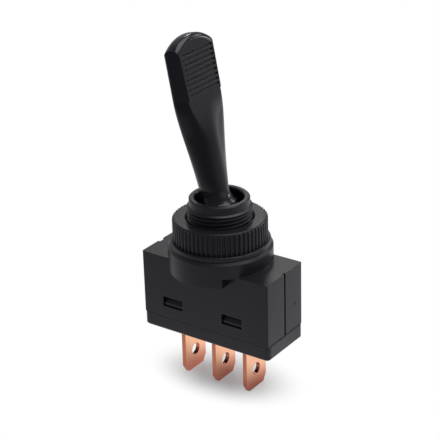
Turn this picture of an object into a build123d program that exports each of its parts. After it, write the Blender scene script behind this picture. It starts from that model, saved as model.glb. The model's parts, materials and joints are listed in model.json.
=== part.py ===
"""Panel-mount toggle switch with a threaded bush, a flat lever and three blade terminals.

The origin is the centre of the collar's top face, which seats against the back of a
panel. +Z runs up the bush, X is the long side of the body and the way the lever
swings, and Y is the width. All sizes are in millimetres.
"""
from build123d import *
import os
from math import cos, radians, sin, sqrt

# ---------------------------------------------------------------- driving dimensions
# Housing: one moulding of body, collar and bush
body_length = 26.85
body_width = 11.2
body_height = 12.1
body_corner = 0.3
side_wall = 1.15
end_wall = 1.4
top_wall = 1.5
collar_radius = 9.38
collar_height = 2.95
collar_rounding = 0.5
skirt_drop = 1.75
skirt_end = 5.45
thread_radius = 5.8
thread_length = 7.3
thread_chamfer = 0.25
pilot_radius = 5.4
pilot_length = 1.5
bore_radius = 4.35
bore_chamfer = 0.22
end_slot_width = 0.45
far_slot_width = 1.5
end_slot_depth = 0.4
gate_radius = 0.4
gate_depth = 0.06
gate_offset = 3.0
gate_drop = 7.0

# Snap windows and the hooks that fill them
window_width = 4.3
window_height = 1.95
window_sill = 2.15
window_spacing = 12.8
window_shift = -0.55
hook_clearance = 0.15
hook_thickness = 0.75
hook_nose = 0.95

# Base
base_height = 2.8
base_overhang = 0.15
base_corner = 0.9
base_edge = 0.35
seam_chamfer = 0.1
plinth_height = 0.9
plinth_clearance = 0.08

# Terminals
blade_width = 6.2
blade_thickness = 0.8
blade_pitch = 6.75
blade_length = 9.55
blade_slot_clearance = 0.05
tip_chamfer_width = 0.85
tip_chamfer_height = 1.4
wire_hole_radius = 1.15
wire_hole_height = 3.7
bend_radius = 0.9
foot_width = 5.6
foot_margin = 0.35
saddle_length = 2.3
ear_length = 3.2
ear_height = 0.85
ear_gap = 0.3

# Contacts
contact_radius = 1.6
contact_height = 0.7
contact_edge = 0.2
contact_reach = 8.6
contact_gap = 0.04
shank_radius = 0.75
shank_clearance = 0.02

# Rocker: a formed strip that seesaws on the centre terminal
rocker_tilt = 8.0
rocker_thickness = 0.8
rocker_width = 4.4
rocker_end = 0.4
trough_radius = 5.75
trough_angle = 34.0
shoulder_radius = 1.3
trunnion_size = 0.8
trunnion_clearance = 0.09

# Lever
lever_tilt = 10.5
pivot_height = 4.07
lever_length = 33.75
neck_radius = 2.55
neck_height = 5.9
neck_flat = 0.1
hub_radius = 3.6
hub_height = 3.4
tail_radius = 2.4
tail_length = 11.2
pad_length = 10.65
pad_width_low = 9.6
pad_width_high = 10.15
pad_thickness_low = 4.0
pad_thickness_high = 3.5
pad_step = 0.2
pad_front_edge = 0.3
pad_back_edge = 1.0
pad_arch_rise = 1.75
crown_front_edge = 1.1
crown_back_edge = 1.75
rib_count = 9
rib_pitch = 0.87
rib_depth = 0.28
rib_start = 0.8
rib_margin = 0.4
# Shaft sections: share of the rise, thickness, width, front and back corner radius
shaft_low = (0.25, 4.95, 6.4, 2.35, 2.45)
shaft_middle = (0.5, 4.8, 8.0, 2.15, 2.35)
shaft_high = (0.75, 4.4, 9.5, 1.5, 1.9)

# Pin, plunger and spring inside the lever
pin_radius = 1.0
pin_fit = 0.02
pin_running_clearance = 0.06
pin_seat_depth = 0.55
spring_bore_radius = 1.55
spring_bore_roof = 1.4
plunger_clearance = 0.08
plunger_shank = 4.2
plunger_travel = 0.6
nose_radius = 1.0
nose_gap = 0.07
spigot_radius = 0.75
spigot_length = 1.1
spring_wire_radius = 0.18
spring_radius = 1.15
spring_turns = 5
spring_end_gap = 0.05

# Ring nut
nut_seat_gap = 0.1
nut_height = 4.9
nut_clearance = 0.08
nut_chamfer = 0.3
flange_height = 0.8
flange_setback = 0.42
flange_rounding = 0.25
knurl_setback = 0.5
knurl_depth = 0.3
knurl_count = 60
knurl_end_land = 0.25
knurl_crest_share = 0.26
knurl_root_share = 0.34

# ---------------------------------------------------------------- derived places
body_top = -collar_height
seam = body_top - body_height
base_bottom = seam - base_height
blade_tip = base_bottom - blade_length
bush_top = thread_length + pilot_length
cavity_roof = body_top - top_wall
cavity_length = body_length - 2 * end_wall
cavity_width = body_width - 2 * side_wall
window_bottom = seam + window_sill
window_places = [window_shift - window_spacing / 2, window_shift + window_spacing / 2]
plinth_top = seam + plinth_height
foot_top = plinth_top + blade_thickness
pin_seat_radius = bore_radius + pin_seat_depth
flange_radius = collar_radius - flange_setback
knurl_radius = flange_radius - knurl_setback

# The rocker's mid-line leaves the pivot along the trough, turns over the shoulder and
# runs out straight; arm_offset is how far that straight line passes from the pivot.
trough_middle = trough_radius + rocker_thickness / 2
tilt_sin = sin(radians(rocker_tilt))
tilt_cos = cos(radians(rocker_tilt))
edge_sin = sin(radians(trough_angle))
edge_cos = cos(radians(trough_angle))
shoulder_x = trough_middle * edge_sin + shoulder_radius * (edge_sin - tilt_sin)
shoulder_z = trough_middle * (1 - edge_cos) + shoulder_radius * (tilt_cos - edge_cos)
arm_offset = shoulder_z * tilt_cos - shoulder_x * tilt_sin
arm_start = shoulder_x * tilt_cos + shoulder_z * tilt_sin
rocker_pivot = (
    foot_top + 2 * contact_height + contact_gap + rocker_thickness / 2 - arm_offset
)

# The plunger's nose hangs just clear of the trough while the lever rests. With the
# nose's centre at distance reach down the lever axis, that is one quadratic.
lever_sin = sin(radians(lever_tilt))
lever_cos = cos(radians(lever_tilt))
bowl_x = trough_middle * tilt_sin
bowl_z = rocker_pivot + trough_middle * tilt_cos - pivot_height
bowl_along = -bowl_x * lever_sin + bowl_z * lever_cos
bowl_room = trough_radius - nose_radius - nose_gap
nose_reach = -bowl_along + sqrt(bowl_along**2 - bowl_x**2 - bowl_z**2 + bowl_room**2)
plunger_shoulder = tail_length - plunger_shank + plunger_travel
spring_roof = pin_radius + spring_bore_roof

# Planes: up the lever, its side view, and the rocker's side view
lever_frame = Plane(
    origin=(0, 0, pivot_height), x_dir=(lever_cos, 0, lever_sin), z_dir=(-lever_sin, 0, lever_cos)
)
lever_side = Plane(origin=lever_frame.origin, x_dir=lever_frame.x_dir, z_dir=(0, -1, 0))
lever_axis = Axis(lever_frame.origin, lever_frame.z_dir)
rocker_side = Plane(origin=(0, 0, rocker_pivot), x_dir=(tilt_cos, 0, -tilt_sin), z_dir=(0, -1, 0))


def save(part, name):
    """Label one finished piece and write it as a STEP file."""
    part.label = name
    export_step(part, f"parts/{name}.step")


os.makedirs("parts", exist_ok=True)

# ---------------------------------------------------------------- housing
with BuildPart() as housing:
    with BuildSketch(Plane.XY.offset(seam)):
        Rectangle(body_length, body_width)
    extrude(amount=body_height)
    fillet(housing.edges().filter_by(Axis.Z), radius=body_corner)

    # Collar and bush, turned about the bush axis
    with BuildSketch(Plane.XZ):
        with BuildLine():
            Polyline(
                (0, body_top - top_wall / 2),
                (collar_radius, body_top - top_wall / 2),
                (collar_radius, -collar_rounding),
                (collar_radius - collar_rounding, 0),
                (thread_radius, 0),
                (thread_radius, thread_length - thread_chamfer),
                (pilot_radius, thread_length),
                (pilot_radius, bush_top - bore_chamfer),
                (pilot_radius - bore_chamfer, bush_top),
                (0, bush_top),
                close=True,
            )
        make_face()
    revolve(axis=Axis.Z)
    with BuildSketch(Plane.XY.offset(body_top)):
        Rectangle(3 * collar_radius, 3 * collar_radius)
        Rectangle(body_length, body_width, mode=Mode.SUBTRACT)
    extrude(amount=-top_wall, mode=Mode.SUBTRACT)

    # Skirts: the collar's two sides run down over the body as far as the flat cut
    with BuildSketch(Plane.XY.offset(body_top - skirt_drop)):
        Circle(collar_radius)
        with Locations((skirt_end, 0)):
            Rectangle(
                2 * collar_radius,
                2 * collar_radius,
                align=(Align.MIN, Align.CENTER),
                mode=Mode.SUBTRACT,
            )
    extrude(amount=skirt_drop)

    # Hollow body and bore
    with BuildSketch(Plane.XY.offset(seam)):
        Rectangle(cavity_length, cavity_width)
    extrude(amount=cavity_roof - seam, mode=Mode.SUBTRACT)
    with BuildSketch(Plane.XY.offset(cavity_roof)):
        Circle(bore_radius)
    extrude(amount=bush_top - cavity_roof, mode=Mode.SUBTRACT)
    chamfer(
        housing.edges().filter_by(GeomType.CIRCLE).group_by(Axis.Z)[-1].sort_by(SortBy.RADIUS)[0],
        length=bore_chamfer,
    )

    # Pin seats: open downwards, so the lever and its pin go in from below
    with BuildSketch(Plane.XZ):
        with Locations((0, pivot_height)):
            Circle(pin_radius + pin_running_clearance)
            Rectangle(
                2 * (pin_radius + pin_running_clearance),
                pivot_height - cavity_roof,
                align=(Align.CENTER, Align.MAX),
            )
    extrude(amount=pin_seat_radius, both=True, mode=Mode.SUBTRACT)

    # Snap windows through both side walls
    with BuildSketch(Plane.XZ):
        with Locations(*[(x, window_bottom + window_height / 2) for x in window_places]):
            Rectangle(window_width, window_height)
    extrude(amount=body_width, both=True, mode=Mode.SUBTRACT)

    # Relief slot down each end wall, and the moulding gate's shallow dimple
    with BuildSketch(Plane.XY.offset(seam)):
        with Locations((body_length / 2, 0)):
            Rectangle(2 * end_slot_depth, end_slot_width)
        with Locations((-body_length / 2, 0)):
            Rectangle(2 * end_slot_depth, far_slot_width)
    extrude(amount=body_height, mode=Mode.SUBTRACT)
    with BuildSketch(Plane.YZ.offset(body_length / 2)):
        with Locations((gate_offset, body_top - gate_drop)):
            Circle(gate_radius)
    extrude(amount=-gate_depth, mode=Mode.SUBTRACT)
save(housing.part, "housing")

# ---------------------------------------------------------------- base
hook_outer = cavity_width / 2 - plinth_clearance
with BuildPart() as base:
    with BuildSketch(Plane.XY.offset(base_bottom)):
        RectangleRounded(body_length + 2 * base_overhang, body_width, base_corner)
    extrude(amount=base_height)
    chamfer(base.faces().sort_by(Axis.Z)[0].edges(), length=base_edge)
    chamfer(base.faces().sort_by(Axis.Z)[-1].edges(), length=seam_chamfer)
    with BuildSketch(Plane.XY.offset(seam)):
        Rectangle(cavity_length - 2 * plinth_clearance, cavity_width - 2 * plinth_clearance)
    extrude(amount=plinth_height)

    # Snap hooks: an arm up the inside of each wall with a nose in its window
    for side in (1, -1):
        with BuildSketch(Plane.YZ.offset(window_shift)) as hook_profile:
            with BuildLine():
                Polyline(
                    (side * (hook_outer - hook_thickness), seam),
                    (side * hook_outer, seam),
                    (side * hook_outer, window_bottom + hook_clearance),
                    (side * (hook_outer + hook_nose), window_bottom + hook_clearance),
                    (side * (hook_outer + hook_nose), window_bottom + window_height / 3),
                    (side * hook_outer, window_bottom + window_height - hook_clearance),
                    (side * (hook_outer - hook_thickness), window_bottom + window_height),
                    close=True,
                )
            make_face()
        for x in window_places:
            extrude(
                hook_profile.sketch.moved(Location((x - window_shift, 0, 0))),
                amount=window_width / 2 - hook_clearance,
                both=True,
            )

    # Slots for the blades
    with BuildSketch(Plane.XY.offset(base_bottom)):
        with GridLocations(blade_pitch, 1, 3, 1):
            Rectangle(
                blade_thickness + 2 * blade_slot_clearance,
                blade_width + 2 * blade_slot_clearance,
            )
    extrude(amount=base_height + plinth_height, mode=Mode.SUBTRACT)

    # Reliefs in the plinth for the insides of the terminals' bends
    with BuildSketch(Plane.XY.offset(plinth_top)):
        for x, side in ((-blade_pitch, -1), (0, 1), (blade_pitch, 1)):
            with Locations((x + side * bend_radius / 2, 0)):
                Rectangle(
                    bend_radius + blade_thickness,
                    blade_width + 2 * blade_slot_clearance,
                )
    extrude(amount=-bend_radius, mode=Mode.SUBTRACT)
save(base.part, "base")


# ---------------------------------------------------------------- terminals
def formed_blade(x, foot_end):
    """A blade that rises through the base and bends over into a flat foot."""
    foot_middle = plinth_top + blade_thickness / 2
    with BuildPart() as blade:
        with BuildLine(Plane.XZ):
            FilletPolyline(
                (x, blade_tip),
                (x, foot_middle),
                (foot_end, foot_middle),
                radius=bend_radius,
            )
        with BuildSketch(Plane.XY.offset(blade_tip)):
            with Locations((x, 0)):
                Rectangle(blade_thickness, blade_width)
        sweep()

        # The foot is narrower than the blade, to pass between the snap hooks
        with BuildSketch(Plane.XY.offset(plinth_top)):
            with Locations((x, 0)):
                Rectangle(3 * blade_pitch, 2 * blade_width)
                Rectangle(3 * blade_pitch, foot_width, mode=Mode.SUBTRACT)
        extrude(amount=blade_thickness, mode=Mode.SUBTRACT)

        # Bevelled tip corners and the wire hole
        for side in (1, -1):
            with BuildSketch(Plane.YZ.offset(x)):
                with BuildLine():
                    Polyline(
                        (side * blade_width / 2, blade_tip),
                        (side * (blade_width / 2 - tip_chamfer_width), blade_tip),
                        (side * blade_width / 2, blade_tip + tip_chamfer_height),
                        close=True,
                    )
                make_face()
            extrude(amount=blade_thickness, both=True, mode=Mode.SUBTRACT)
        with BuildSketch(Plane.YZ.offset(x)):
            with Locations((0, blade_tip + wire_hole_height)):
                Circle(wire_hole_radius)
        extrude(amount=blade_thickness, both=True, mode=Mode.SUBTRACT)
    return blade


foot_reach = contact_reach + contact_radius + foot_margin
for side, name in ((-1, "terminal_left"), (1, "terminal_right")):
    with BuildPart() as outer_terminal:
        add(formed_blade(side * blade_pitch, side * foot_reach).part)
        with BuildSketch(Plane.XY.offset(plinth_top)):
            with Locations((side * contact_reach, 0)):
                Circle(shank_radius + shank_clearance)
        extrude(amount=blade_thickness, mode=Mode.SUBTRACT)
    save(outer_terminal.part, name)

# The centre terminal's foot carries two ears whose notches cradle the rocker
ear_inner = rocker_width / 2 + ear_gap
notch_radius = trunnion_size / sqrt(2) + trunnion_clearance
with BuildPart() as terminal_centre:
    add(formed_blade(0, saddle_length).part)
    with BuildSketch(Plane.XY.offset(plinth_top)):
        with Locations((saddle_length / 2, 0)):
            Rectangle(saddle_length, 2 * (ear_inner + blade_thickness))
    extrude(amount=blade_thickness)
    for side in (1, -1):
        with BuildSketch(Plane.XZ.offset(-side * (ear_inner + blade_thickness / 2))):
            with Locations((0, plinth_top)):
                Rectangle(
                    ear_length,
                    rocker_pivot + ear_height - plinth_top,
                    align=(Align.CENTER, Align.MIN),
                )
            with Locations((0, rocker_pivot)):
                Circle(notch_radius, mode=Mode.SUBTRACT)
                Rectangle(
                    2 * notch_radius,
                    2 * ear_height,
                    align=(Align.CENTER, Align.MIN),
                    mode=Mode.SUBTRACT,
                )
        extrude(amount=blade_thickness / 2, both=True)
save(terminal_centre.part, "terminal_centre")


# ---------------------------------------------------------------- contacts
def contact_rivet(seat, plate_thickness):
    """A contact rivet on plane seat: the head stands up, the shank runs down the plate."""
    with BuildPart() as rivet:
        with BuildSketch(seat):
            Circle(contact_radius)
        extrude(amount=contact_height)
        chamfer(rivet.faces().sort_by(Axis(seat.origin, seat.z_dir))[-1].edges(), contact_edge)
        with BuildSketch(seat):
            Circle(shank_radius)
        extrude(amount=-plate_thickness)
    return rivet


for side, name in ((-1, "left"), (1, "right")):
    fixed_seat = Plane(origin=(side * contact_reach, 0, foot_top), z_dir=(0, 0, 1))
    save(contact_rivet(fixed_seat, blade_thickness).part, f"fixed_contact_{name}")


# ---------------------------------------------------------------- rocker
def arm_point(side, along, across):
    """A point on one rocker arm: along it from the pivot, and across it from below."""
    local_x = side * (along * tilt_cos - across * tilt_sin)
    local_z = along * tilt_sin + across * tilt_cos
    return rocker_side.from_local_coords(Vector(local_x, local_z, 0))


def arm_seat(side):
    """The contact's seat under one rocker arm, facing away from the arm."""
    origin = arm_point(side, contact_reach, arm_offset - rocker_thickness / 2)
    above = arm_point(side, contact_reach, arm_offset)
    return Plane(origin=origin, x_dir=(0, 1, 0), z_dir=(origin - above).normalized())


with BuildPart() as rocker:
    with BuildSketch(rocker_side):
        with BuildLine():
            trough = JernArc((0, 0), (1, 0), trough_middle, trough_angle)
            shoulder = JernArc(trough @ 1, trough % 1, shoulder_radius, rocker_tilt - trough_angle)
            arm_length = contact_reach + contact_radius + rocker_end - arm_start
            PolarLine(shoulder @ 1, arm_length, direction=shoulder % 1)
            mirror(about=Plane.YZ)
        trace(line_width=rocker_thickness)
    extrude(amount=rocker_width / 2, both=True)
    with BuildSketch(rocker_side):
        Rectangle(trunnion_size, trunnion_size)
    extrude(amount=ear_inner + blade_thickness, both=True)
    for side in (1, -1):
        with BuildSketch(arm_seat(side)):
            Circle(shank_radius + shank_clearance)
        extrude(amount=-rocker_thickness, mode=Mode.SUBTRACT)
save(rocker.part, "rocker")

for side, name in ((-1, "left"), (1, "right")):
    save(contact_rivet(arm_seat(side), rocker_thickness).part, f"rocker_contact_{name}")

# ---------------------------------------------------------------- lever
pad_start = lever_length - pad_length
shaft_rise = pad_start - neck_height
pad_lean = (pad_thickness_low - pad_thickness_high) / 2 / pad_length
shoulder_half = pad_thickness_high / 2 + pad_arch_rise * pad_lean
arch_radius = (pad_width_high**2 / 4 + pad_arch_rise**2) / (2 * pad_arch_rise)
arch_centre = lever_length - arch_radius


def lever_section(rise, thickness, width, front_corner, back_corner, setback=0):
    """Section across the lever, set back in front, whose two sides have their own radii."""
    with BuildSketch(lever_frame.offset(rise)) as section:
        with Locations((-setback / 2, 0)):
            Rectangle(thickness - setback, width)
        fillet(section.vertices().group_by(Axis.X)[0], radius=back_corner)
        fillet(section.vertices().group_by(Axis.X)[-1], radius=front_corner)
    return section.sketch


pad_sections = [
    (pad_start, pad_thickness_low, pad_width_low, pad_front_edge, pad_back_edge),
    (lever_length, pad_thickness_high, pad_width_high, pad_front_edge, pad_back_edge),
]
neck_corner = neck_radius - neck_flat / 2
shaft_foot = (0, 2 * neck_radius, 2 * neck_radius, neck_corner, neck_corner)
shaft_end = (1, pad_thickness_low, pad_width_low, pad_front_edge, pad_back_edge, pad_step)
shaft_sections = [
    (neck_height + share * shaft_rise, *form)
    for share, *form in (shaft_foot, shaft_low, shaft_middle, shaft_high, shaft_end)
]
with BuildPart() as lever:
    # Pad: it widens and thins upwards, and its arched end is rounded to front and back
    loft(sections=[lever_section(*place) for place in pad_sections])
    with BuildSketch(lever_side):
        with BuildLine():
            crown_foot = Polyline(
                (-shoulder_half, lever_length - crown_back_edge),
                (-pad_thickness_low, arch_centre),
                (pad_thickness_low, arch_centre),
                (shoulder_half, lever_length - crown_front_edge),
            )
            front_bend = RadiusArc(
                crown_foot @ 1,
                (shoulder_half - crown_front_edge, lever_length),
                -crown_front_edge,
            )
            crown_top = Line(front_bend @ 1, (crown_back_edge - shoulder_half, lever_length))
            RadiusArc(crown_top @ 1, crown_foot @ 0, -crown_back_edge)
        make_face()
    revolve(
        axis=Axis(lever_side.from_local_coords((0, arch_centre, 0)), lever_frame.x_dir),
        mode=Mode.INTERSECT,
    )

    # Cross ribs: grooves square to each broad face, which stop short of its edges
    with BuildSketch(lever_side):
        for i in range(rib_count):
            rise = rib_start + i * rib_pitch
            face = pad_thickness_low / 2 - rise * pad_lean
            with Locations((face, pad_start + rise), (-face, pad_start + rise)):
                Rectangle(rib_depth * sqrt(2), rib_depth * sqrt(2), rotation=45)
    extrude(amount=pad_width_low / 2 - rib_margin, both=True, mode=Mode.SUBTRACT)

    # Shaft: round at the neck, widening and flattening into the pad
    loft(sections=[lever_section(*place) for place in shaft_sections])

    # Neck, flare, hub and tail, turned about the lever axis
    with BuildSketch(lever_side):
        with BuildLine():
            Polyline(
                (neck_radius, neck_height),
                (0, neck_height),
                (0, -tail_length),
                (tail_radius, -tail_length),
                (tail_radius, -hub_height - hub_radius + tail_radius),
                (hub_radius, -hub_height),
                (hub_radius, hub_height),
            )
            TangentArc(
                (neck_radius, neck_height), (hub_radius, hub_height), tangent=(0, -1)
            )
        make_face()
    revolve(axis=lever_axis)

    # Pin hole across the hub and spring bore up the tail
    with BuildSketch(lever_side):
        Circle(pin_radius + pin_fit)
    extrude(amount=hub_radius, both=True, mode=Mode.SUBTRACT)
    with BuildSketch(lever_frame.offset(-tail_length)):
        Circle(spring_bore_radius)
    extrude(amount=tail_length - spring_roof, mode=Mode.SUBTRACT)
save(lever.part, "lever")

# ---------------------------------------------------------------- pivot pin
with BuildPart() as pivot_pin:
    with BuildSketch(Plane.XZ):
        with Locations((0, pivot_height)):
            Circle(pin_radius)
    extrude(amount=pin_seat_radius - 2 * pin_running_clearance, both=True)
    chamfer(pivot_pin.edges().filter_by(GeomType.CIRCLE), length=pin_radius / 5)
save(pivot_pin.part, "pivot_pin")

# ---------------------------------------------------------------- plunger
shank = spring_bore_radius - plunger_clearance
with BuildPart() as plunger:
    with BuildSketch(lever_side):
        with BuildLine():
            Line((0, spigot_length - plunger_shoulder), (0, -nose_reach - nose_radius))
            ThreePointArc(
                (0, -nose_reach - nose_radius),
                (nose_radius / sqrt(2), -nose_reach - nose_radius / sqrt(2)),
                (nose_radius, -nose_reach),
            )
            Polyline(
                (nose_radius, -nose_reach),
                (nose_radius, -tail_length - 2 * plunger_travel),
                (shank, -tail_length - 2 * plunger_travel - nose_radius + shank),
                (shank, -plunger_shoulder),
                (spigot_radius, -plunger_shoulder),
                (spigot_radius, spigot_length - plunger_shoulder),
                (0, spigot_length - plunger_shoulder),
            )
        make_face()
    revolve(axis=lever_axis)
save(plunger.part, "plunger")

# ---------------------------------------------------------------- spring
spring_low = plunger_shoulder - spring_end_gap - spring_wire_radius
spring_high = spring_roof + spring_end_gap + spring_wire_radius
spring_span = spring_low - spring_high
with BuildPart() as spring:
    with BuildLine():
        coil = Helix(
            pitch=spring_span / spring_turns,
            height=spring_span,
            radius=spring_radius,
            center=lever_frame.offset(-spring_low).origin,
            direction=lever_frame.z_dir,
        )
    with BuildSketch(Plane(origin=coil @ 0, z_dir=coil % 0)):
        RegularPolygon(spring_wire_radius, side_count=6)
    sweep(is_frenet=True)
save(spring.part, "spring")

# ---------------------------------------------------------------- ring nut
nut_top = nut_seat_gap + nut_height
flange_top = nut_seat_gap + flange_height
knurl_root = knurl_radius - knurl_depth
knurl_step = 360 / knurl_count
knurl_profile = [
    (-knurl_crest_share / 2, knurl_radius),
    (knurl_crest_share / 2, knurl_radius),
    ((1 - knurl_root_share) / 2, knurl_root),
    ((1 + knurl_root_share) / 2, knurl_root),
]
with BuildPart() as ring_nut:
    with BuildSketch(Plane.XY.offset(nut_seat_gap)):
        Circle(flange_radius)
    extrude(amount=flange_height)
    fillet(ring_nut.faces().sort_by(Axis.Z)[-1].edges(), radius=flange_rounding)
    with BuildSketch(Plane.XY.offset(flange_top)):
        Circle(knurl_root)
    extrude(amount=nut_height - flange_height)
    chamfer(ring_nut.faces().sort_by(Axis.Z)[-1].edges(), length=nut_chamfer / 2)
    with BuildSketch(Plane.XY.offset(flange_top)):
        knurl_points = []
        for i in range(knurl_count):
            for share, radius in knurl_profile:
                turn = radians((i + share) * knurl_step)
                knurl_points.append((radius * cos(turn), radius * sin(turn)))
        with BuildLine():
            Polyline(*knurl_points, close=True)
        make_face()
    extrude(amount=nut_height - flange_height - knurl_end_land)
    with BuildSketch(Plane.XY.offset(nut_seat_gap)):
        Circle(thread_radius + nut_clearance)
    extrude(amount=nut_height, mode=Mode.SUBTRACT)
    chamfer(
        ring_nut.edges().filter_by(GeomType.CIRCLE).group_by(Axis.Z)[-1].sort_by(SortBy.RADIUS)[0],
        length=nut_chamfer,
    )
save(ring_nut.part, "ring_nut")
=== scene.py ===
import bpy
import bmesh
import json
import math
from mathutils import Matrix, Vector


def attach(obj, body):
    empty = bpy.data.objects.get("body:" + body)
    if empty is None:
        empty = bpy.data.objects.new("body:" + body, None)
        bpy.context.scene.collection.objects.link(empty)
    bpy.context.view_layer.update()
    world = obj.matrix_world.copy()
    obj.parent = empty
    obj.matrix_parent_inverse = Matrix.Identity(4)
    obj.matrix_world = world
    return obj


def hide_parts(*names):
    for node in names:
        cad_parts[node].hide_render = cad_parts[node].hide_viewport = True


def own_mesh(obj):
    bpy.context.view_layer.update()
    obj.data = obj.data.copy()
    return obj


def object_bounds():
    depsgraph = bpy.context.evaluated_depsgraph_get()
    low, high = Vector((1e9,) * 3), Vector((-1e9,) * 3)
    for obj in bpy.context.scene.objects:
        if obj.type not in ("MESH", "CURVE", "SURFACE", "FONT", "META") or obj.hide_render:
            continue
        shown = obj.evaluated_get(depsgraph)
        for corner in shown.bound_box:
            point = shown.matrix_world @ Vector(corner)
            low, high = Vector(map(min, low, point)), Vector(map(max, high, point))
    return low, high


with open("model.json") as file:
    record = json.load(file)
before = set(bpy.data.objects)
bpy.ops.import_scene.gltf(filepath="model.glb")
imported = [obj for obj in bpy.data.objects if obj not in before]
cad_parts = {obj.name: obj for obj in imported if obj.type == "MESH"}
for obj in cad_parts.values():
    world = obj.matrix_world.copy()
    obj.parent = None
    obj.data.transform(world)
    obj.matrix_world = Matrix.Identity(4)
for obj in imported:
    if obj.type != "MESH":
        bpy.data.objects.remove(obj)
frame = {"nodes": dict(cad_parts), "record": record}
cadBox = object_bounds()
nodes = frame["nodes"]
mm = 0.001
print("frame loaded,", len(nodes), "nodes")


def newGroup(name, inputs, outputs):
    group = bpy.data.node_groups.new(name, "ShaderNodeTree")
    for label, kind, value in inputs:
        group.interface.new_socket(label, in_out="INPUT", socket_type=kind).default_value = value
    for label, kind in outputs:
        group.interface.new_socket(label, in_out="OUTPUT", socket_type=kind)
    return group, group.nodes.new("NodeGroupInput"), group.nodes.new("NodeGroupOutput")


def addNode(tree, kind, values=None, **settings):
    node = tree.nodes.new(kind)
    for key, value in settings.items():
        setattr(node, key, value)
    for key, value in (values or {}).items():
        node.inputs[key].default_value = value
    return node


def addGroup(tree, group, values=None):
    return addNode(tree, "ShaderNodeGroup", values, node_tree=group)


# a map range that eases from one level to another
def addEase(tree, start, end, low=0.0, high=1.0):
    values = {"From Min": start, "From Max": end, "To Min": low, "To Max": high}
    return addNode(tree, "ShaderNodeMapRange", values, interpolation_type="SMOOTHSTEP")


def connect(tree, *pairs):
    for source, target in pairs:
        tree.links.new(source, target)


# fine spark-eroded grain of a moulding: a height for the bump and a slow mottle
def buildMouldedGrain():
    group, start, end = newGroup(
        "mouldedGrain",
        [("Grain Scale", "NodeSocketFloat", 2600.0), ("Mottle Scale", "NodeSocketFloat", 160.0)],
        [("Height", "NodeSocketFloat"), ("Mottle", "NodeSocketFloat")],
    )
    coords = addNode(group, "ShaderNodeTexCoord")
    fine = addNode(group, "ShaderNodeTexNoise", {"Detail": 3.0, "Roughness": 0.6})
    slow = addNode(group, "ShaderNodeTexNoise", {"Detail": 4.0, "Roughness": 0.55})
    connect(
        group,
        (coords.outputs["Object"], fine.inputs["Vector"]),
        (coords.outputs["Object"], slow.inputs["Vector"]),
        (start.outputs["Grain Scale"], fine.inputs["Scale"]),
        (start.outputs["Mottle Scale"], slow.inputs["Scale"]),
        (fine.outputs["Fac"], end.inputs["Height"]),
        (slow.outputs["Fac"], end.inputs["Mottle"]),
    )
    return group


# the small radius that every moulded or stamped edge has, and a mask of where it lies
def buildSoftEdge():
    group, start, end = newGroup(
        "softEdge",
        [("Sharpness", "NodeSocketFloat", 6.0), ("Radius", "NodeSocketFloat", 0.12 * mm)],
        [("Normal", "NodeSocketVector"), ("Edge", "NodeSocketFloat")],
    )
    bevel = addNode(group, "ShaderNodeBevel", samples=6)
    surface = addNode(group, "ShaderNodeNewGeometry")
    facing = addNode(group, "ShaderNodeVectorMath", operation="DOT_PRODUCT")
    turned = addNode(group, "ShaderNodeMath", {0: 1.0}, operation="SUBTRACT")
    scaled = addNode(group, "ShaderNodeMath", operation="MULTIPLY", use_clamp=True)
    connect(
        group,
        (start.outputs["Radius"], bevel.inputs["Radius"]),
        (bevel.outputs["Normal"], facing.inputs[0]),
        (surface.outputs["Normal"], facing.inputs[1]),
        (facing.outputs["Value"], turned.inputs[1]),
        (turned.outputs[0], scaled.inputs[0]),
        (start.outputs["Sharpness"], scaled.inputs[1]),
        (bevel.outputs["Normal"], end.inputs["Normal"]),
        (scaled.outputs[0], end.inputs["Edge"]),
    )
    return group


# rolling marks and faint tarnish of sheet copper or drawn wire, drawn out along Z
def buildDrawnStreaks():
    group, start, end = newGroup(
        "drawnStreaks",
        [("Streak Scale", "NodeSocketFloat", 900.0), ("Tarnish Scale", "NodeSocketFloat", 260.0)],
        [("Streak", "NodeSocketFloat"), ("Tarnish", "NodeSocketFloat")],
    )
    coords = addNode(group, "ShaderNodeTexCoord")
    stretch = addNode(group, "ShaderNodeMapping", {"Scale": (1.0, 1.0, 0.05)})
    streak = addNode(group, "ShaderNodeTexNoise", {"Detail": 4.0, "Roughness": 0.7})
    tarnish = addNode(group, "ShaderNodeTexNoise", {"Detail": 5.0, "Roughness": 0.6})
    connect(
        group,
        (coords.outputs["Object"], stretch.inputs["Vector"]),
        (stretch.outputs["Vector"], streak.inputs["Vector"]),
        (coords.outputs["Object"], tarnish.inputs["Vector"]),
        (start.outputs["Streak Scale"], streak.inputs["Scale"]),
        (start.outputs["Tarnish Scale"], tarnish.inputs["Scale"]),
        (streak.outputs["Fac"], end.inputs["Streak"]),
        (tarnish.outputs["Fac"], end.inputs["Tarnish"]),
    )
    return group


# the slight crown of the lever's shaft: normals that lean out from its axis, blended in above
# the neck and out again below the pad
shaftLook = {
    "pivot": 4.07 * mm, "lean": 10.5, "flatness": 0.7,
    "neck": (9 * mm, 12 * mm), "pad": (20 * mm, 26.5 * mm),
}


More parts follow.
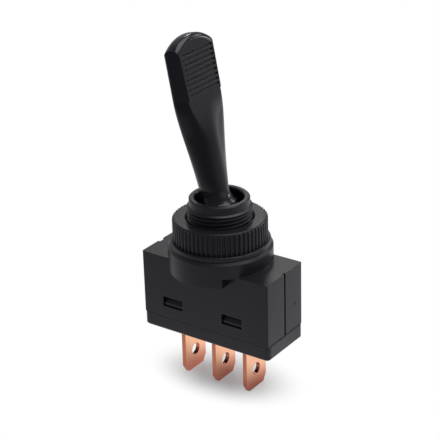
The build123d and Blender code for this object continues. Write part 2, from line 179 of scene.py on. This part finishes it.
def buildShaftCrown(look):
    group, start, end = newGroup(
        "shaftCrown",
        [("Normal", "NodeSocketVector", (0, 0, 1)), ("Share", "NodeSocketFloat", 0.0)],
        [("Normal", "NodeSocketVector")],
    )
    lean = math.radians(look["lean"])
    axis = (-math.sin(lean), 0, math.cos(lean))
    coords = addNode(group, "ShaderNodeTexCoord")
    local = addNode(group, "ShaderNodeVectorMath", {1: (0, 0, look["pivot"])}, operation="SUBTRACT")
    along = addNode(group, "ShaderNodeVectorMath", {1: axis}, operation="PROJECT")
    across = addNode(group, "ShaderNodeVectorMath", operation="SUBTRACT")
    squeezed = addNode(group, "ShaderNodeVectorMath", {1: (1, look["flatness"], 1)},
                       operation="MULTIPLY")
    turned = addNode(group, "ShaderNodeVectorTransform", vector_type="NORMAL",
                     convert_from="OBJECT", convert_to="WORLD")
    place = addNode(group, "ShaderNodeSeparateXYZ")
    neck = addNode(group, "ShaderNodeMapRange", dict(zip(("From Min", "From Max"), look["neck"])))
    pad = addNode(group, "ShaderNodeMapRange", dict(zip(("From Max", "From Min"), look["pad"])))
    both = addNode(group, "ShaderNodeMath", operation="MINIMUM")
    weight = addNode(group, "ShaderNodeMath", operation="MULTIPLY")
    blend = addNode(group, "ShaderNodeMix", data_type="VECTOR")
    unit = addNode(group, "ShaderNodeVectorMath", operation="NORMALIZE")
    connect(
        group,
        (coords.outputs["Object"], local.inputs[0]),
        (local.outputs[0], along.inputs[0]),
        (local.outputs[0], across.inputs[0]),
        (along.outputs[0], across.inputs[1]),
        (across.outputs[0], squeezed.inputs[0]),
        (squeezed.outputs[0], turned.inputs[0]),
        (coords.outputs["Object"], place.inputs["Vector"]),
        (place.outputs["Z"], neck.inputs["Value"]),
        (place.outputs["Z"], pad.inputs["Value"]),
        (neck.outputs["Result"], both.inputs[0]),
        (pad.outputs["Result"], both.inputs[1]),
        (both.outputs[0], weight.inputs[0]),
        (start.outputs["Share"], weight.inputs[1]),
        (weight.outputs[0], blend.inputs["Factor"]),
        (start.outputs["Normal"], blend.inputs["A"]),
        (turned.outputs[0], blend.inputs["B"]),
        (blend.outputs["Result"], unit.inputs[0]),
        (unit.outputs[0], end.inputs["Normal"]),
    )
    return group


mouldedGrain = buildMouldedGrain()
softEdge = buildSoftEdge()
drawnStreaks = buildDrawnStreaks()
shaftCrown = buildShaftCrown(shaftLook)


def startMaterial(name):
    material = bpy.data.materials.new(name)
    material.use_nodes = True
    tree = material.node_tree
    return material, tree, tree.nodes["Principled BSDF"]


def addTint(tree, **colours):
    return addNode(tree, "ShaderNodeMix", colours, data_type="RGBA")


# roughness that follows a mask, as far to either side of its mean as the spread says
def addGloss(tree, look):
    middle, spread = look["roughness"], look["roughnessSpread"]
    values = {"To Min": middle - spread, "To Max": middle + spread}
    return addNode(tree, "ShaderNodeMapRange", values)


def mouldedPlastic(name, look):
    material, tree, shader = startMaterial(name)
    shader.inputs["IOR"].default_value = look["ior"]
    grain = addGroup(tree, mouldedGrain, {"Grain Scale": look["grainScale"]})
    edge = addGroup(tree, softEdge)
    tint = addTint(tree, A=look["dark"], B=look["light"])
    # the colour goes a little lighter along the edges
    edgeTone = addTint(tree, B=look["edgeColour"])
    gloss = addGloss(tree, look)
    bump = addNode(tree, "ShaderNodeBump", {
        "Strength": look["grainStrength"], "Distance": look["grainDepth"],
    })
    connect(
        tree,
        (grain.outputs["Mottle"], tint.inputs["Factor"]),
        (tint.outputs["Result"], edgeTone.inputs["A"]),
        (edge.outputs["Edge"], edgeTone.inputs["Factor"]),
        (edgeTone.outputs["Result"], shader.inputs["Base Color"]),
        (grain.outputs["Mottle"], gloss.inputs["Value"]),
        (gloss.outputs["Result"], shader.inputs["Roughness"]),
        (grain.outputs["Height"], bump.inputs["Height"]),
        (edge.outputs["Normal"], bump.inputs["Normal"]),
        (bump.outputs["Normal"], shader.inputs["Normal"]),
    )
    if "crowned" in look:
        crown = addGroup(tree, shaftCrown, {"Share": look["crowned"]})
        connect(
            tree,
            (edge.outputs["Normal"], crown.inputs["Normal"]),
            (crown.outputs["Normal"], bump.inputs["Normal"]),
        )
    return material


# bright metal with rolling marks, with painted shade darkening it towards the blades' tips,
# and darker on sheared faces, the ones that don't face along X
def sheetMetal(name, look):
    material, tree, shader = startMaterial(name)
    shader.inputs["Metallic"].default_value = 1.0
    marks = addGroup(tree, drawnStreaks, {"Streak Scale": look["streakScale"]})
    edge = addGroup(tree, softEdge)
    tint = addTint(tree, A=look["bright"], B=look["tarnished"])
    coords = addNode(tree, "ShaderNodeTexCoord")
    place = addNode(tree, "ShaderNodeSeparateXYZ")
    lowest = cadBox[0].z
    # painted shade: darker and redder towards the blades' tips, where they near the floor
    tip = addEase(tree, lowest, lowest + look["tipReach"], look["tipShare"], 0.0)
    paintedTipShade = addTint(tree, B=look["tipColour"])
    facing = addNode(tree, "ShaderNodeVectorMath", operation="ABSOLUTE")
    side = addNode(tree, "ShaderNodeSeparateXYZ")
    broad, sheared = look["cutFacing"]
    cutMask = addNode(tree, "ShaderNodeMapRange", {
        "From Min": broad, "From Max": sheared, "To Min": 0.0, "To Max": look["cutShare"],
    })
    cut = addTint(tree, B=look["cutColour"])
    gloss = addGloss(tree, look)
    bump = addNode(tree, "ShaderNodeBump", {
        "Strength": look["markStrength"], "Distance": look["markDepth"],
    })
    connect(
        tree,
        (coords.outputs["Object"], place.inputs["Vector"]),
        (place.outputs["Z"], tip.inputs["Value"]),
        (tip.outputs["Result"], paintedTipShade.inputs["Factor"]),
        (tint.outputs["Result"], paintedTipShade.inputs["A"]),
        (marks.outputs["Tarnish"], tint.inputs["Factor"]),
        (coords.outputs["Normal"], facing.inputs[0]),
        (facing.outputs[0], side.inputs["Vector"]),
        (side.outputs["X"], cutMask.inputs["Value"]),
        (cutMask.outputs["Result"], cut.inputs["Factor"]),
        (paintedTipShade.outputs["Result"], cut.inputs["A"]),
        (cut.outputs["Result"], shader.inputs["Base Color"]),
        (marks.outputs["Streak"], gloss.inputs["Value"]),
        (gloss.outputs["Result"], shader.inputs["Roughness"]),
        (marks.outputs["Streak"], bump.inputs["Height"]),
        (edge.outputs["Normal"], bump.inputs["Normal"]),
        (bump.outputs["Normal"], shader.inputs["Normal"]),
    )
    return material


housingLook = {
    "dark": (0.0112, 0.0108, 0.0160, 1), "light": (0.0162, 0.0156, 0.0220, 1),
    "edgeColour": (0.024, 0.023, 0.026, 1), "ior": 1.47,
    "roughness": 0.36, "roughnessSpread": 0.05,
    "grainScale": 2600.0, "grainStrength": 0.2, "grainDepth": 0.04 * mm,
}
leverLook = dict(housingLook, roughness=0.21, grainStrength=0.05, crowned=0.9)
nutLook = dict(housingLook, roughness=0.33)
copperLook = {
    "bright": (0.99, 0.60, 0.37, 1), "tarnished": (0.95, 0.46, 0.27, 1),
    "roughness": 0.2, "roughnessSpread": 0.08,
    "streakScale": 900.0, "markStrength": 0.3, "markDepth": 0.02 * mm,
    # the tip colour, share and reach paint shade towards the blades' tips
    "tipColour": (0.62, 0.17, 0.11, 1), "tipShare": 0.95, "tipReach": 4.8 * mm,
    "cutColour": (0.42, 0.11, 0.06, 1), "cutShare": 0.8, "cutFacing": (0.9, 0.4),
}
whiteMetalLook = dict(copperLook, cutShare=0.0)
silverLook = dict(whiteMetalLook, bright=(0.86, 0.85, 0.83, 1), tarnished=(0.66, 0.63, 0.58, 1))
steelLook = dict(whiteMetalLook, bright=(0.62, 0.62, 0.62, 1), tarnished=(0.50, 0.50, 0.50, 1))
acetalLook = dict(
    housingLook, dark=(0.72, 0.70, 0.64, 1), light=(0.80, 0.78, 0.72, 1),
    edgeColour=(0.84, 0.82, 0.76, 1),
)

materials = {
    "housing_plastic": mouldedPlastic("housingPlastic", housingLook),
    "base_plastic": mouldedPlastic("basePlastic", housingLook),
    "lever_plastic": mouldedPlastic("leverPlastic", leverLook),
    "nut_plastic": mouldedPlastic("nutPlastic", nutLook),
    "plunger_plastic": mouldedPlastic("plungerPlastic", acetalLook),
    "copper": sheetMetal("sheetCopper", copperLook),
    "contact_silver": sheetMetal("contactSilver", silverLook),
    "steel": sheetMetal("drawnSteel", steelLook),
}
for part in frame["record"]["subparts"]:
    mesh = nodes[part["node"]].data
    mesh.materials.clear()
    mesh.materials.append(materials[part["material_slot"]])
print("materials on", len(nodes), "nodes")


# the bush thread, lengths in mm: a right-handed helix that runs out just above the collar and
# below the plain pilot; the seat is the plain wall of the CAD bush, which the helix replaces
threadLook = {
    "crest": 5.8, "depth": 0.34, "pitch": 0.75, "low": 0.1, "high": 7.0,
    "runIn": 0.5, "runOut": 0.2, "columns": 160, "phase": 0.415,
    "profile": [0.0, 0.1, 0.2, 0.34, 0.46, 0.54, 0.66, 0.8, 0.9],
    "grooveShare": 0.62, "flankShare": 0.5,
    "seatSlack": 0.005, "seatLow": -0.01, "seatHigh": 7.2, "rimSlack": 0.5, "weld": 0.0005,
    "smoothAngle": 28,
}


# how far the groove has sunk at this share of a pitch: flat crest, sloped flanks, narrow root
def threadCut(share, look):
    away = abs(share - 0.5) * 2
    return look["depth"] * min(max((look["grooveShare"] - away) / look["flankShare"], 0), 1)


def easedRamp(value):
    value = min(max(value, 0), 1)
    return value * value * (3 - 2 * value)


def buildThreadGrid(mesh, look):
    steps = len(look["profile"])
    turns = math.ceil((look["high"] - look["low"]) / look["pitch"]) + 2
    grid = []
    for column in range(look["columns"]):
        share = column / look["columns"]
        turn = 2 * math.pi * share
        line = []
        for row in range(turns * steps):
            along = row // steps + look["profile"][row % steps]
            height = look["low"] + look["pitch"] * (along + share - look["phase"] - 1)
            height = min(max(height, look["low"]), look["high"])
            fade = easedRamp((height - look["low"]) / look["runIn"])
            fade = fade * easedRamp((look["high"] - height) / look["runOut"])
            radius = look["crest"] - fade * threadCut(look["profile"][row % steps], look)
            place = (radius * math.cos(turn) * mm, radius * math.sin(turn) * mm, height * mm)
            line.append(mesh.verts.new(place))
        grid.append(line)
    for column in range(look["columns"]):
        seam = column == look["columns"] - 1
        near, far = grid[column], grid[0] if seam else grid[column + 1]
        shift = steps if seam else 0        # the last column meets the first one a pitch higher
        for row in range(turns * steps - 1 - shift):
            mesh.faces.new((near[row], far[row + shift], far[row + shift + 1], near[row + 1]))


def onSeat(vert, look):
    radius = math.hypot(vert.co.x, vert.co.y) / mm
    within = look["seatLow"] < vert.co.z / mm < look["seatHigh"]
    return within and abs(radius - look["crest"]) < look["seatSlack"]


def threadHousing(look):
    piece = bpy.data.objects.new("threadedHousing", nodes["housing"].data.copy())
    bpy.context.scene.collection.objects.link(piece)
    mesh = bmesh.new()
    mesh.from_mesh(piece.data)
    weld = look["weld"] * mm
    bmesh.ops.remove_doubles(mesh, verts=mesh.verts, dist=weld)
    seat = [face for face in mesh.faces if all(onSeat(vert, look) for vert in face.verts)]
    bmesh.ops.delete(mesh, geom=seat, context="FACES")
    buildThreadGrid(mesh, look)
    bmesh.ops.remove_doubles(mesh, verts=mesh.verts, dist=weld)
    bmesh.ops.dissolve_degenerate(mesh, edges=mesh.edges, dist=weld)
    for level in (look["low"], look["high"]):
        rims = [
            edge for edge in mesh.edges
            if edge.is_boundary and abs(edge.verts[0].co.z - level * mm) < look["rimSlack"] * mm
        ]
        bmesh.ops.bridge_loops(mesh, edges=rims)
    bmesh.ops.recalc_face_normals(mesh, faces=mesh.faces)
    smoothAngle = math.radians(look["smoothAngle"])
    for face in mesh.faces:
        face.smooth = True
    for edge in mesh.edges:
        edge.smooth = edge.is_manifold and edge.calc_face_angle(0) < smoothAngle
    openEdges = sum(not edge.is_manifold for edge in mesh.edges)
    mesh.to_mesh(piece.data)
    mesh.free()
    # the normals that came with the CAD mesh no longer fit its faces
    if "custom_normal" in piece.data.attributes:
        piece.data.attributes.remove(piece.data.attributes["custom_normal"])
    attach(piece, "frame")
    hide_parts("housing")
    print("thread cut,", len(piece.data.polygons), "faces,", openEdges, "open edges")


threadHousing(threadLook)


# the spring in the lever's tail gets a mesh of its own
def shortenSpring():
    spring = nodes["spring"]
    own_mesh(spring)


shortenSpring()


# a pale floor, lengths in metres: the camera sees it fade to white away from the object's
# shadow; gloss sees a painted reflection in it, a glowing sheet brighter behind the object than
# in front, brighter again far behind, with painted shade right under it and a painted bright ring
# round that
floorLook = {
    "size": 3.0, "drop": 0.01 * mm, "colour": (0.8, 0.8, 0.8, 1),
    "glowNear": 0.23, "glowFar": 1.0, "fadeStart": 0.002, "fadeEnd": 0.0103,
    "fadeMiddle": (0, 0.0006, 0), "fadeStretch": (0.6, 1, 0),
    "sheetColour": (0.97, 0.95, 1.0, 1), "sheetTurn": 100.0, "sheetSpread": (-0.7, 0.85),
    "sheetFront": (0.06, 0.15, 0.5, 0.08), "sheetBack": (0.04, 0.25, 0.83, 0.36),
    "rearGlow": 0.31, "rearSpread": (0.62, 0.97), "rearReach": (0.085, 0.14),
    "sheetMiddle": (0.003, 0, 0), "sheetStretch": (0.5, 1, 0),
    # painted shade close under the object, then a painted bright ring round it that eases back to
    # the plain level
    "paintedShadeUnder": (0.002, 0.008, 0.6, 1.45), "paintedRingFade": (0.016, 0.024, 1.45, 1.0),
}


def towards(azimuth, elevation):
    turn, rise = math.radians(azimuth), math.radians(elevation)
    flat = math.cos(rise)
    return Vector((math.cos(turn) * flat, math.sin(turn) * flat, math.sin(rise)))


# the distance from a middle, with the axes stretched, so that rings of it are ovals
def addOvalDistance(tree, coords, middle, stretch):
    local = addNode(tree, "ShaderNodeVectorMath", {1: middle}, operation="SUBTRACT")
    scaled = addNode(tree, "ShaderNodeVectorMath", {1: stretch}, operation="MULTIPLY")
    reach = addNode(tree, "ShaderNodeVectorMath", operation="LENGTH")
    connect(
        tree,
        (coords.outputs["Object"], local.inputs[0]),
        (local.outputs[0], scaled.inputs[0]),
        (scaled.outputs[0], reach.inputs[0]),
    )
    return reach.outputs["Value"]


# the floor as the camera sees it: matt and shadowed near the object, plain white further out
def addSeenFloor(tree, look, coords, path):
    matt = addNode(tree, "ShaderNodeBsdfDiffuse", {"Color": look["colour"]})
    glow = addNode(tree, "ShaderNodeEmission", {"Strength": 1.0})
    blend = addNode(tree, "ShaderNodeMixShader")
    fade = addEase(tree, look["fadeStart"], look["fadeEnd"], look["glowNear"], look["glowFar"])
    weight = addNode(tree, "ShaderNodeMath", operation="MULTIPLY")
    reach = addOvalDistance(tree, coords, look["fadeMiddle"], look["fadeStretch"])
    connect(
        tree,
        (reach, fade.inputs["Value"]),
        (path.outputs["Is Camera Ray"], weight.inputs[0]),
        (fade.outputs["Result"], weight.inputs[1]),
        (weight.outputs[0], blend.inputs["Fac"]),
        (matt.outputs[0], blend.inputs[1]),
        (glow.outputs[0], blend.inputs[2]),
    )
    return blend.outputs[0]


# the floor as gloss sees it: a painted reflection, a glow set by the direction and the
# distance from the object
def addPaintedReflection(tree, look, coords):
    sheet = addNode(tree, "ShaderNodeEmission", {"Color": look["sheetColour"]})
    aside = addNode(tree, "ShaderNodeVectorMath", operation="NORMALIZE")
    behind = addNode(tree, "ShaderNodeVectorMath", {1: towards(look["sheetTurn"], 0)},
                     operation="DOT_PRODUCT")
    distance = addNode(tree, "ShaderNodeVectorMath", operation="LENGTH")
    # painted shade dims the sheet close under the object, and a painted bright ring round that
    # eases back to the plain level
    under, clear, front, back = (
        addNode(tree, "ShaderNodeMapRange",
                dict(zip(("From Min", "From Max", "To Min", "To Max"), look[part])))
        for part in ("paintedShadeUnder", "paintedRingFade", "sheetFront", "sheetBack")
    )
    side, rearSide, rearFar = (
        addEase(tree, *look[part]) for part in ("sheetSpread", "rearSpread", "rearReach")
    )
    around = addNode(tree, "ShaderNodeMix")
    rear = addNode(tree, "ShaderNodeMath", operation="MULTIPLY")
    rearLevel = addNode(tree, "ShaderNodeMath", {1: look["rearGlow"]}, operation="MULTIPLY")
    level = addNode(tree, "ShaderNodeMath", operation="ADD")
    shade = addNode(tree, "ShaderNodeMath", operation="MINIMUM")
    strength = addNode(tree, "ShaderNodeMath", operation="MULTIPLY")
    beyond = addOvalDistance(tree, coords, look["sheetMiddle"], look["sheetStretch"])
    connect(
        tree,
        (coords.outputs["Object"], aside.inputs[0]),
        (aside.outputs[0], behind.inputs[0]),
        (coords.outputs["Object"], distance.inputs[0]),
        (behind.outputs["Value"], side.inputs["Value"]),
        (distance.outputs["Value"], front.inputs["Value"]),
        (distance.outputs["Value"], back.inputs["Value"]),
        (side.outputs["Result"], around.inputs["Factor"]),
        (front.outputs["Result"], around.inputs["A"]),
        (back.outputs["Result"], around.inputs["B"]),
        (behind.outputs["Value"], rearSide.inputs["Value"]),
        (distance.outputs["Value"], rearFar.inputs["Value"]),
        (rearSide.outputs["Result"], rear.inputs[0]),
        (rearFar.outputs["Result"], rear.inputs[1]),
        (rear.outputs[0], rearLevel.inputs[0]),
        (around.outputs["Result"], level.inputs[0]),
        (rearLevel.outputs[0], level.inputs[1]),
        (beyond, under.inputs["Value"]),
        (beyond, clear.inputs["Value"]),
        (under.outputs["Result"], shade.inputs[0]),
        (clear.outputs["Result"], shade.inputs[1]),
        (level.outputs[0], strength.inputs[0]),
        (shade.outputs[0], strength.inputs[1]),
        (strength.outputs[0], sheet.inputs["Strength"]),
    )
    return sheet.outputs[0]


def buildFloor(look):
    level = cadBox[0].z - look["drop"]
    half = look["size"] / 2
    mesh = bpy.data.meshes.new("studioFloor")
    corners = [(x * half, y * half, level) for x, y in ((-1, -1), (1, -1), (1, 1), (-1, 1))]
    mesh.from_pydata(corners, [], [(0, 1, 2, 3)])
    floor = bpy.data.objects.new("studioFloor", mesh)
    bpy.context.scene.collection.objects.link(floor)
    material = bpy.data.materials.new("studioFloor")
    material.use_nodes = True
    tree = material.node_tree
    tree.nodes.clear()
    output = addNode(tree, "ShaderNodeOutputMaterial")
    path = addNode(tree, "ShaderNodeLightPath")
    coords = addNode(tree, "ShaderNodeTexCoord")
    mirrored = addNode(tree, "ShaderNodeMixShader")
    connect(
        tree,
        (path.outputs["Is Glossy Ray"], mirrored.inputs["Fac"]),
        (addSeenFloor(tree, look, coords, path), mirrored.inputs[1]),
        (addPaintedReflection(tree, look, coords), mirrored.inputs[2]),
        (mirrored.outputs[0], output.inputs["Surface"]),
    )
    mesh.materials.append(material)


# the room: white to the camera, and for all other rays a dim room with soft glows low round it
roomLook = {
    "glows": [
        {"azimuth": 0, "elevation": 90, "strength": 0.17, "focus": 0, "colour": (0.85, 0.9, 1, 1)},
        {"azimuth": 5, "elevation": 8, "strength": 0.3, "focus": 12, "colour": (1, 1, 1, 1)},
        {"azimuth": 205, "elevation": 10, "strength": 0.55, "focus": 14, "colour": (1, 1, 1, 1)},
        {"azimuth": 30, "elevation": 8, "strength": 0.35, "focus": 8, "colour": (1, 1, 1, 1)},
        {"azimuth": 150, "elevation": 8, "strength": 0.46, "focus": 8, "colour": (1, 1, 1, 1)},
    ],
}


def buildRoom(look):
    world = bpy.data.worlds.new("studioRoom")
    bpy.context.scene.world = world
    world.use_nodes = True
    tree = world.node_tree
    tree.nodes.clear()
    output = addNode(tree, "ShaderNodeOutputWorld")
    seen = addNode(tree, "ShaderNodeBackground", {"Color": (1, 1, 1, 1), "Strength": 1.0})
    coords = addNode(tree, "ShaderNodeTexCoord")
    path = addNode(tree, "ShaderNodeLightPath")
    blend = addNode(tree, "ShaderNodeMixShader")
    lit = None
    for glow in look["glows"]:
        facing = addNode(tree, "ShaderNodeVectorMath",
                         {1: towards(glow["azimuth"], glow["elevation"])}, operation="DOT_PRODUCT")
        front = addNode(tree, "ShaderNodeMath", {1: 0.0}, operation="MAXIMUM")
        lobe = addNode(tree, "ShaderNodeMath", {1: glow["focus"]}, operation="POWER")
        level = addNode(tree, "ShaderNodeMath", {1: glow["strength"]}, operation="MULTIPLY")
        light = addNode(tree, "ShaderNodeBackground", {"Color": glow["colour"]})
        connect(
            tree,
            (coords.outputs["Generated"], facing.inputs[0]),
            (facing.outputs["Value"], front.inputs[0]),
            (front.outputs[0], lobe.inputs[0]),
            (lobe.outputs[0], level.inputs[0]),
            (level.outputs[0], light.inputs["Strength"]),
        )
        if lit is None:
            lit = light
            continue
        both = addNode(tree, "ShaderNodeAddShader")
        connect(tree, (lit.outputs[0], both.inputs[0]), (light.outputs[0], both.inputs[1]))
        lit = both
    connect(
        tree,
        (path.outputs["Is Camera Ray"], blend.inputs["Fac"]),
        (lit.outputs[0], blend.inputs[1]),
        (seen.outputs[0], blend.inputs[2]),
        (blend.outputs[0], output.inputs["Surface"]),
    )


# softboxes, each given by where it stands round the object, how high and how far; the low key
# throws the collar's shadow over the body's top, and the wide one overhead lights the tops
lampLooks = {
    "keySoftbox": {"azimuth": 122, "elevation": 38, "reach": 0.5, "size": (0.08, 0.06),
                   "power": 0.2, "colour": (1.0, 0.98, 0.93)},
    "topSoftbox": {"azimuth": 50, "elevation": 74, "reach": 0.5, "size": (0.42, 0.42),
                   "power": 1.42, "colour": (1.0, 0.99, 0.97)},
    "backSoftbox": {"azimuth": 75, "elevation": 31, "reach": 0.5, "size": (0.2, 0.1),
                    "power": 0.15, "colour": (1.0, 1.0, 1.0)},
    "sideSoftbox": {"azimuth": 62, "elevation": 12, "reach": 0.5, "size": (0.1, 0.08),
                    "power": 0.16, "colour": (1.0, 1.0, 1.0)},
}


def buildLamp(name, look):
    place = look["reach"] * towards(look["azimuth"], look["elevation"])
    lamp = bpy.data.lights.new(name, "AREA")
    lamp.shape = "RECTANGLE"
    lamp.size, lamp.size_y = look["size"]
    lamp.energy = look["power"]
    lamp.color = look["colour"]
    holder = bpy.data.objects.new(name, lamp)
    bpy.context.scene.collection.objects.link(holder)
    holder.location = place
    holder.rotation_euler = (-place).to_track_quat("-Z", "Y").to_euler()


buildFloor(floorLook)
buildRoom(roomLook)
for lampName, lampLook in lampLooks.items():
    buildLamp(lampName, lampLook)


# camera: a long lens a little above and to the right of the front; angles in degrees from
# straight in front, distances, lens and sensor in mm
cameraLook = {
    "azimuth": 35.53, "elevation": 24.5, "roll": -1.62, "distance": 259.39,
    "lens": 119.29, "sensor": 36, "aimRise": 6.44, "aimBase": -2.95, "clipStart": 10,
}


def buildCamera(look):
    azimuth = math.radians(look["azimuth"])
    elevation = math.radians(look["elevation"])
    roll = math.radians(look["roll"])
    back = Vector((
        math.sin(azimuth) * math.cos(elevation),
        -math.cos(azimuth) * math.cos(elevation),
        math.sin(elevation),
    ))
    right = Vector((math.cos(azimuth), math.sin(azimuth), 0))
    up = back.cross(right)
    aim = Vector((0, 0, look["aimBase"])) + look["aimRise"] * up
    place = aim + look["distance"] * back
    turnedRight = right * math.cos(roll) + up * math.sin(roll)
    turnedUp = -right * math.sin(roll) + up * math.cos(roll)
    data = bpy.data.cameras.new("mainCamera")
    data.lens = look["lens"]
    data.sensor_width = look["sensor"]
    data.clip_start = look["clipStart"] * mm
    camera = bpy.data.objects.new("mainCamera", data)
    bpy.context.scene.collection.objects.link(camera)
    turn = Matrix((turnedRight, turnedUp, back)).transposed()
    camera.matrix_world = Matrix.Translation(place * mm) @ turn.to_4x4()
    bpy.context.scene.camera = camera


buildCamera(cameraLook)
bpy.context.scene.view_settings.view_transform = "Standard"
print("stage and camera ready")
